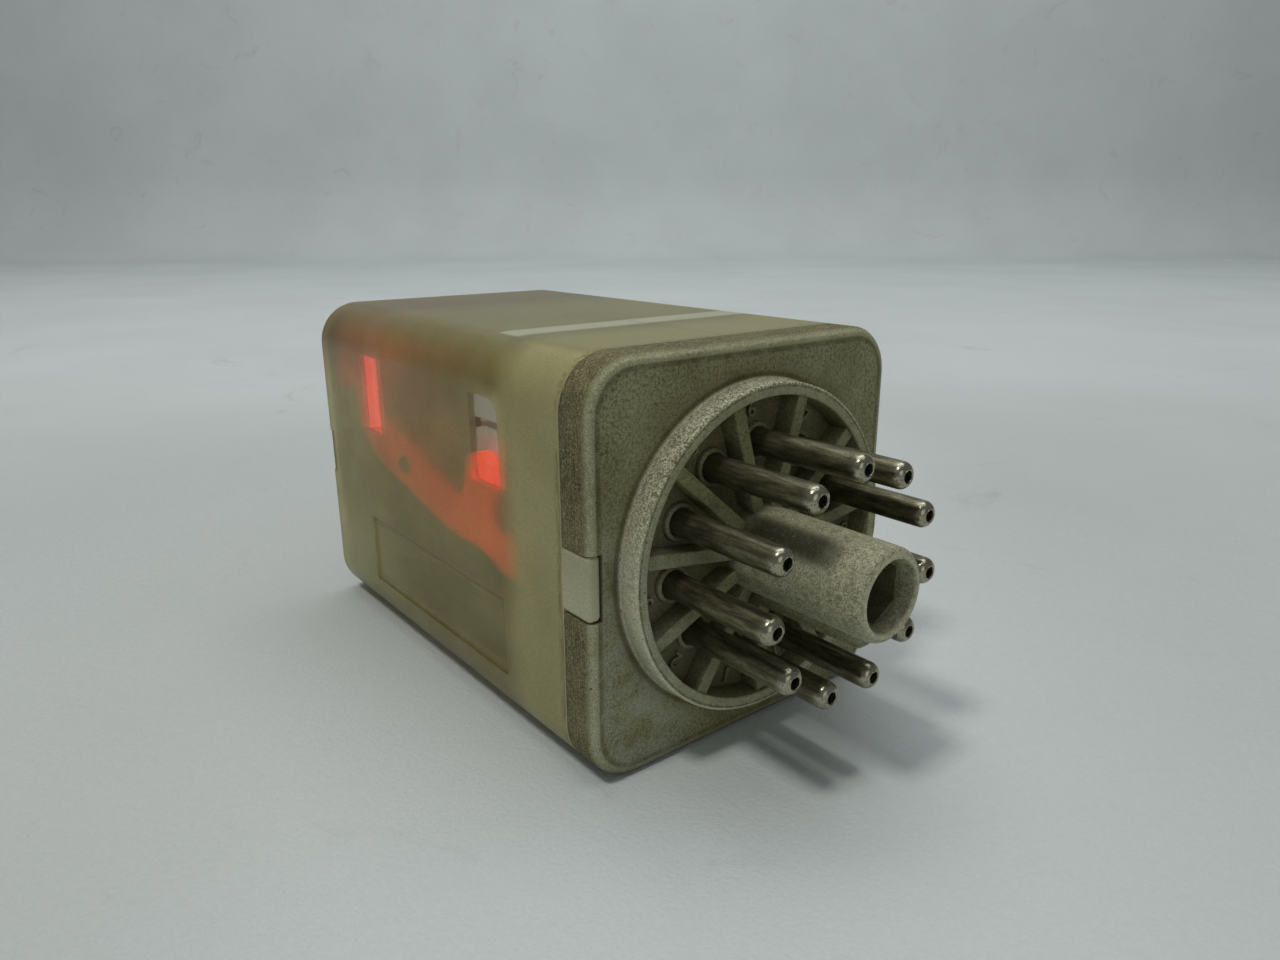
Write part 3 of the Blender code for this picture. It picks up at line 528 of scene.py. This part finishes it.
def boolean(target, operation, tools):
    group = bpy.data.collections.new(target.name + operation)
    for tool in tools:
        group.objects.link(tool)
    change = target.modifiers.new("b", "BOOLEAN")
    change.operation, change.solver = operation, "EXACT"
    change.operand_type, change.collection = "COLLECTION", group
    bpy.context.view_layer.update()
    mesh = bpy.data.meshes.new_from_object(target.evaluated_get(bpy.context.evaluated_depsgraph_get()))
    bm = bmesh.new()
    bm.from_mesh(mesh)
    bmesh.ops.remove_doubles(bm, verts=bm.verts, dist=2e-7)
    bmesh.ops.dissolve_degenerate(bm, edges=bm.edges, dist=2e-7)
    bm.to_mesh(mesh)
    bm.free()
    target.modifiers.clear()
    target.data = mesh
    for tool in tools:
        bpy.data.objects.remove(tool, do_unlink=True)
    bpy.data.collections.remove(group)
    return target


def dress(obj, look, smooth=32):
    obj.data.materials.clear()
    obj.data.materials.append(look)
    obj.data.shade_smooth()
    obj.data.set_sharp_from_angle(angle=math.radians(smooth))
    return obj


def pin_place(number):
    turn = math.radians(-106.4 - (number - 1) * 360 / 11)
    return PIN_CIRCLE_R * math.cos(turn), MID_Z + PIN_CIRCLE_R * math.sin(turn)


# ------------------------------------------------------------ the base
def build_base():
    base = case_block("base_moulding", SEAM_X, 0, WIDTH / 2, 0, HEIGHT, CORNER_R, front=0.8)
    tools = [
        case_block("t1", -8.6, SEAM_X + 0.5, WIDTH / 2 - 1.55, 1.55, HEIGHT - 1.55, CORNER_R - 1.5, steps=6),
        turned(
            "t2",
            arc(14.87 - 0.2, 2.34 - 0.2, 0.2, 90, 0, 5)
            + [(14.87, 0.35), (15.05, 0.08), (15.3, -0.6), (13.55, -0.6), (13.62, 0.3)]
            + arc(13.72 + 0.18, 2.34 - 0.18, 0.18, 180, 90, 4),
            (0, 0, MID_Z), 112, closed=True,
        ),
        turned(
            "t3",
            [(0, SPIGOT_TIP)] + arc(3.95 - 0.75, SPIGOT_TIP - 0.75, 0.75, 90, 0, 7)
            + [(3.95, 0.7), (4.2, 0.25), (4.6, -0.8), (0, -0.8)],
            (0, 0, MID_Z), 64,
        ),
        soft_box("t4", (-0.9, -0.95, MID_Z - 5.2), (13.2, 0.95, MID_Z - 3.0), 0.55, 4),
    ]
    for number in range(1, 12):
        y, z = pin_place(number)
        tools.append(
            turned(f"tb{number}", [(0, 0.5)] + arc(1.5, 0.3, 0.2, 90, 0, 3) + [(1.78, -0.7), (0, -0.7)], (0, y, z), 32)
        )
        rib = soft_box(f"tr{number}", (-0.8, 3.3, MID_Z - 0.62), (2.0, 14.1, MID_Z + 0.62), 0.14, 3)
        turn = math.atan2(z - MID_Z, y) + math.pi / 11
        pivot = Matrix.Translation((0, 0, MID_Z / 1000))
        rib.data.transform(pivot @ Matrix.Rotation(turn, 4, "X") @ pivot.inverted())
        tools.append(rib)
    boolean(base, "UNION", tools)
    tools = []
    for number in range(1, 12):
        y, z = pin_place(number)
        # The hole has a small countersink at the boss.
        tools.append(
            turned(f"th{number}", [(0, 1.2), (1.42, 1.2), (1.36, 0.5), (1.22, 0.36), (1.22, -9.4), (0, -9.4)], (0, y, z), 32)
        )
    tools.append(
        turned(
            "tm", [(0, SPIGOT_TIP + 1), (3.2, SPIGOT_TIP + 1), (3.12, SPIGOT_TIP - 0.02), (3.05, SPIGOT_TIP - 0.12),
                   (2.93, SPIGOT_TIP - 1.6), (0, SPIGOT_TIP - 1.6)], (0, 0, MID_Z), 64,
        )
    )
    boolean(base, "DIFFERENCE", tools)
    hexagon = turned("tx", [(0, SPIGOT_TIP - 1.2), (2.86, SPIGOT_TIP - 1.2), (2.8, 3.0), (0, 3.0)], (0, 0, MID_Z), 6)
    pivot = Matrix.Translation((0, 0, MID_Z / 1000))
    hexagon.data.transform(pivot @ Matrix.Rotation(math.radians(30), 4, "X") @ pivot.inverted())
    tools = [hexagon]
    for side in (-1, 1):
        y0, y1 = sorted((side * 16.4, side * 19))
        tools.append(soft_box(f"tn{side}", (SEAM_X - 1.0, y0, 15.3), (1.0, y1, 21.1)))
    boolean(base, "DIFFERENCE", tools)
    dress(base, LOOKS["base_plastic"])
    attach(base, "frame")
    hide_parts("base")


def build_numbers():
    """Raised pin numbers on the floor between the bosses and the collar."""
    for number in range(1, 12):
        y, z = pin_place(number)
        turn = math.atan2(z - MID_Z, y)
        text = bpy.data.curves.new(f"pin_number_{number}", "FONT")
        text.body = str(number)
        text.size = 2.0 / 1000
        text.extrude = 0.22 / 1000
        text.bevel_depth = 0.02 / 1000
        text.align_x, text.align_y = "CENTER", "CENTER"
        made = bpy.data.objects.new(text.name, text)
        bpy.context.scene.collection.objects.link(made)
        # Beside the boss, turned so that its top points away from the spigot.
        beside = turn + math.radians(3.0)
        place = at(0.05, 12.35 * math.cos(beside), MID_Z + 12.35 * math.sin(beside))
        face = Matrix(((0, 0, 1), (1, 0, 0), (0, 1, 0))).to_4x4()   # text X -> Y, Y -> Z, Z -> X
        spin = Matrix.Rotation(beside - math.pi / 2, 4, "X")
        made.matrix_world = Matrix.Translation(place) @ spin @ face
        bpy.context.view_layer.update()
        mesh = bpy.data.meshes.new_from_object(made.evaluated_get(bpy.context.evaluated_depsgraph_get()))
        mesh.transform(made.matrix_world)
        bpy.data.objects.remove(made, do_unlink=True)
        digit = add_object(f"pin_number_{number}", mesh, LOOKS["base_plastic"], 30)
        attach(digit, "frame")


# ------------------------------------------------------------ the cover
def build_cover():
    cover = case_block("cover_moulding", -LENGTH, SEAM_X - 0.06, WIDTH / 2, 0, HEIGHT, CORNER_R, back=1.5)
    tools = []
    for side in (-1, 1):
        y0, y1 = sorted((side * 16.43, side * 17.75))
        tools.append(soft_box(f"tt{side}", (SEAM_X - 1.5, y0, 15.34), (-0.10, y1, 21.06), 0.5, 5))
    boolean(cover, "UNION", tools)
    tools = [
        case_block("ti", -LENGTH + 1.2, SEAM_X + 5, WIDTH / 2 - 1.2, 1.2, HEIGHT - 1.2, CORNER_R - 1.2, back=0.8, steps=10, end_steps=4),
        soft_box("tw", (-LENGTH - 1, -15.0, 27.1), (-LENGTH + 3, -9.0, 33.3)),
        soft_box("tl", (-43.5, -19, 5.3), (-13.5, -17.5, 13.0)),
    ]
    for side in (-1, 1):
        y0, y1 = sorted((side * 17.1, side * 19))
        tools.append(soft_box(f"tc{side}", (-LENGTH - 1, y0, 16.1), (-LENGTH + 1.6, y1, 21.2), 0.0))
    boolean(cover, "DIFFERENCE", tools)
    dress(cover, LOOKS["cover_plastic"])
    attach(cover, "frame")
    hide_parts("cover")


# ------------------------------------------------------------ the pins
def build_pins():
    tip = 12.3
    for number in range(1, 12):
        y, z = pin_place(number)
        # A drawn tube closed to a dome with a small hole at the tip.
        profile = (
            [(0, tip - 3.0), (0.5, tip - 3.0), (0.5, tip - 0.25)]
            + arc(0.6, tip - 0.1, 0.1, 180, 90, 3)
            + arc(0.42, tip - 0.76, 0.76, 76, 0, 8)
            + [(1.18, tip - 1.2), (1.18, -9.0), (0, -9.0)]
        )
        pin = turned(f"pin_tube_{number}", profile, (0, y, z), 40, look=LOOKS["tinned_pin"])
        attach(pin, "frame")
        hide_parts(f"pin_{number}")


# ------------------------------------------------------------ the coil
def build_winding():
    lo, hi = (Vector(c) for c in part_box("coil_winding"))
    x0, x1 = lo.x * 1000 - SHIFT_X, hi.x * 1000 - SHIFT_X
    middle = (lo.z + hi.z) / 2 * 1000
    turns = 44
    pitch = (x1 - x0) / turns
    profile = []
    for i in range(turns):
        top = x1 - i * pitch
        profile += [(9.46, top - pitch * 0.02), (9.58, top - pitch * 0.28), (9.58, top - pitch * 0.72)]
    profile += [(9.46, x0), (4.9, x0), (4.9, x1)]
    winding = turned("copper_turns", profile, (0, 0, middle), 48, closed=True, look=LOOKS["copper_wire"])
    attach(winding, "frame")
    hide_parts("coil_winding")


def prism(name, outline, y0, y1):
    """A plate of this x, z outline between two heights across the body, in mm."""
    bm = bmesh.new()
    near = [bm.verts.new(at(x, y0, z)) for x, z in outline]
    far = [bm.verts.new(at(x, y1, z)) for x, z in outline]
    bm.faces.new(near)
    bm.faces.new(far[::-1])
    for i in range(len(outline)):
        j = (i + 1) % len(outline)
        bm.faces.new([near[i], far[i], far[j], near[j]])
    return add_object(name, from_bm(bm, name))


def build_lever():
    """The test lever with its deep V between the slanting band and the upright tip."""
    source = nodes["test_lever"]
    lever = bpy.data.objects.new("lever_moulding", source.data.copy())
    lever.matrix_world = source.matrix_world.copy()
    bpy.context.scene.collection.objects.link(lever)
    vee = [
        (-33.4, 22.6), (-32.6, 21.25), (-28.8, 20.3), (-24.86, 19.2), (-24.0, 18.8), (-23.3, 18.8), (-22.85, 19.5),
        (-22.7, 21.2), (-22.3, 22.4), (-22.3, 24.6), (-32.0, 24.8),
    ]
    waist = [
        (-16.7, 21.7), (-17.5, 21.5), (-18.25, 21.0), (-18.85, 20.2), (-18.98, 19.2), (-18.69, 18.4), (-18.1, 17.95),
        (-17.16, 17.73), (-14.17, 17.36), (-11.5, 17.2), (-11.5, 21.7),
    ]
    boolean(lever, "DIFFERENCE", [prism("tv", vee, -17.0, -13.0), prism("tr", waist, -17.0, -13.0)])
    boolean(lever, "UNION", [soft_box("tp", (-22.3, -15.3, 20.3), (-20.7, -13.4, 21.5))])
    dress(lever, LOOKS["orange_plastic"])
    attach(lever, "lever")
    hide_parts("test_lever")


build_base()
build_numbers()
build_cover()
build_pins()
build_winding()
build_lever()

# CAD pieces that keep their shape get their finish, and rounded edges where they are moulded or stamped.
slots = {s["node"]: s["material_slot"] for s in frame["record"]["subparts"]}
BEVELS = {"test_lever": 0.25, "test_button": 0.12, "contact_block": 0.3, "bobbin": 0.25, "actuator_card": 0.15, "yoke": 0.2, "armature": 0.2}
for name, obj in nodes.items():
    obj.data.materials.clear()
    obj.data.materials.append(LOOKS[slots[name]])
    if name in BEVELS:
        edge = obj.modifiers.new("edge", "BEVEL")
        edge.width = BEVELS[name] / 1000
        edge.segments = 3
        edge.limit_method = "ANGLE"
        edge.angle_limit = math.radians(40)
        edge.use_clamp_overlap = True


# ------------------------------------------------------------ stage, camera, light
def cloth_look():
    k = Look("studio_cloth")
    weave = k.noise(2.2, 3, 0.6)
    wide = k.noise(0.012, 3, 0.5, seed=1.0)
    colour = k.mix(k.ramp(wide, 0.3, 0.7), (0.595, 0.64, 0.63), (0.635, 0.68, 0.672))
    smudge = k.ramp(k.noise(0.035, 5, 0.7, distort=1.2, seed=6.0), 0.58, 0.74)
    colour = k.mix(k.mul(smudge, 0.24), colour, (0.36, 0.37, 0.34))
    flecks = k.ramp(k.noise(0.45, 3, 0.7, seed=9.0), 0.74, 0.79)
    colour = k.mix(k.mul(flecks, 0.45), colour, (0.25, 0.23, 0.19))
    # Painted shade: the cloth darker to the left and right on the near floor, standing in for the lamps' fall-off.
    lateral = k.math("ABSOLUTE", k.add(k.mul(k.x, 0.62), k.mul(k.y, 0.784)))
    away = k.add(k.mul(k.x, -0.784), k.mul(k.y, 0.62))
    shade = k.mul(k.ramp(lateral, 12.0, 60.0), k.inv(k.ramp(away, 60.0, 220.0)))
    colour = k.mix(k.mul(shade, 0.85), colour, k.mix(1.0, colour, (0.84, 0.83, 0.815), "MULTIPLY"))
    thread = k.noise(2.6, 3, 0.8, seed=4.0)
    colour = k.mix(k.ramp(thread, 0.3, 0.7), k.mix(1.0, colour, (0.96, 0.96, 0.955), "MULTIPLY"), colour)
    folds = k.mul(k.noise(0.028, 3, 0.5, where=k.stretched(1.0, 0.55, 1.0), seed=2.0), 9.0)
    return k.set(
        Base_Color=colour, Roughness=0.95, Specular_IOR_Level=0.1,
        Normal=k.bump(k.add(weave, folds), 0.30, 0.5),
    )


def build_stage():
    """A cloth sweep: flat floor that curves up into a backdrop beyond the object."""
    away = Vector((-0.784, 0.620, 0)).normalized()
    across = Vector((away.y, -away.x, 0))
    profile = [(-1.6, 0.0), (-0.2, 0.0)] + [(0.86 * i / 12, 0.0) for i in range(13)]
    profile += [
        (0.86 + 0.10 * math.sin(math.radians(a)), 0.10 - 0.10 * math.cos(math.radians(a))) for a in range(8, 85, 8)
    ]
    profile += [(0.965, 0.14), (0.975, 0.5), (0.98, 1.6)]
    columns = 48
    bm = bmesh.new()
    grid = []
    for d, h in profile:
        row = []
        for i in range(columns + 1):
            s = -2.4 + 4.8 * i / columns
            wave = 0.0
            if h > 0.01:
                wave = 0.012 * noise.noise(Vector((s * 2.2, h * 1.5, 0.3))) * min(1, h / 0.2)
            point = away * (d + wave) + across * s
            row.append(bm.verts.new((point.x + 0.02, point.y, h - 0.00002)))
        grid.append(row)
    for a, b in zip(grid, grid[1:]):
        for i in range(columns):
            bm.faces.new((a[i], a[i + 1], b[i + 1], b[i]))
    mesh = bpy.data.meshes.new("cloth_sweep")
    bmesh.ops.recalc_face_normals(bm, faces=bm.faces)
    bm.to_mesh(mesh)
    bm.free()
    sweep = add_object("cloth_sweep", mesh, cloth_look(), 0)
    mesh.shade_smooth()


def area(name, place, target, size, power, colour):
    lamp = bpy.data.lights.new(name, "AREA")
    lamp.shape = "SQUARE"
    lamp.size = size
    lamp.energy = power
    lamp.color = colour
    made = bpy.data.objects.new(name, lamp)
    bpy.context.scene.collection.objects.link(made)
    made.location = place
    made.rotation_euler = (Vector(target) - Vector(place)).to_track_quat("-Z", "Y").to_euler()
    return made


build_stage()
world = bpy.data.worlds.new("soft_room")
bpy.context.scene.world = world
world.use_nodes = True
world.node_tree.nodes["Background"].inputs["Color"].default_value = (0.94, 0.98, 1.0, 1)
world.node_tree.nodes["Background"].inputs["Strength"].default_value = 0.17
area("key", (0.04, -0.40, 0.84), (0.0, 0.0, 0.01), 0.13, 2.45, (1.0, 0.985, 0.95))
area("overhead", (0.05, 0.10, 0.90), (0.0, 0.0, 0.0), 0.7, 1.6, (0.98, 0.99, 1.0))
area("front_fill", (0.75, -0.25, 0.30), (0.0, 0.0, 0.02), 0.5, 0.55, (0.97, 1.0, 0.98))
area("back_wash", (-0.35, 0.30, 1.0), (-0.75, 0.60, 0.2), 0.8, 3.6, (0.97, 0.97, 1.0))

camera_data = bpy.data.cameras.new("camera")
camera = bpy.data.objects.new("camera", camera_data)
bpy.context.scene.collection.objects.link(camera)
camera_data.sensor_fit = "HORIZONTAL"
camera_data.sensor_width = 36.0
camera_data.lens = 25.35
camera_data.clip_start = 0.005
right = Vector((0.62064, 0.78408, -0.00347)).normalized()
up = Vector((-0.22203, 0.17999, 0.95828))
up = (up - right * up.dot(right)).normalized()
back = right.cross(up)
camera.matrix_world = Matrix.Translation(at(53.353, -54.767, 46.738)) @ Matrix((right, up, back)).transposed().to_4x4()
bpy.context.scene.camera = camera
bpy.context.scene.view_settings.view_transform = "Standard"
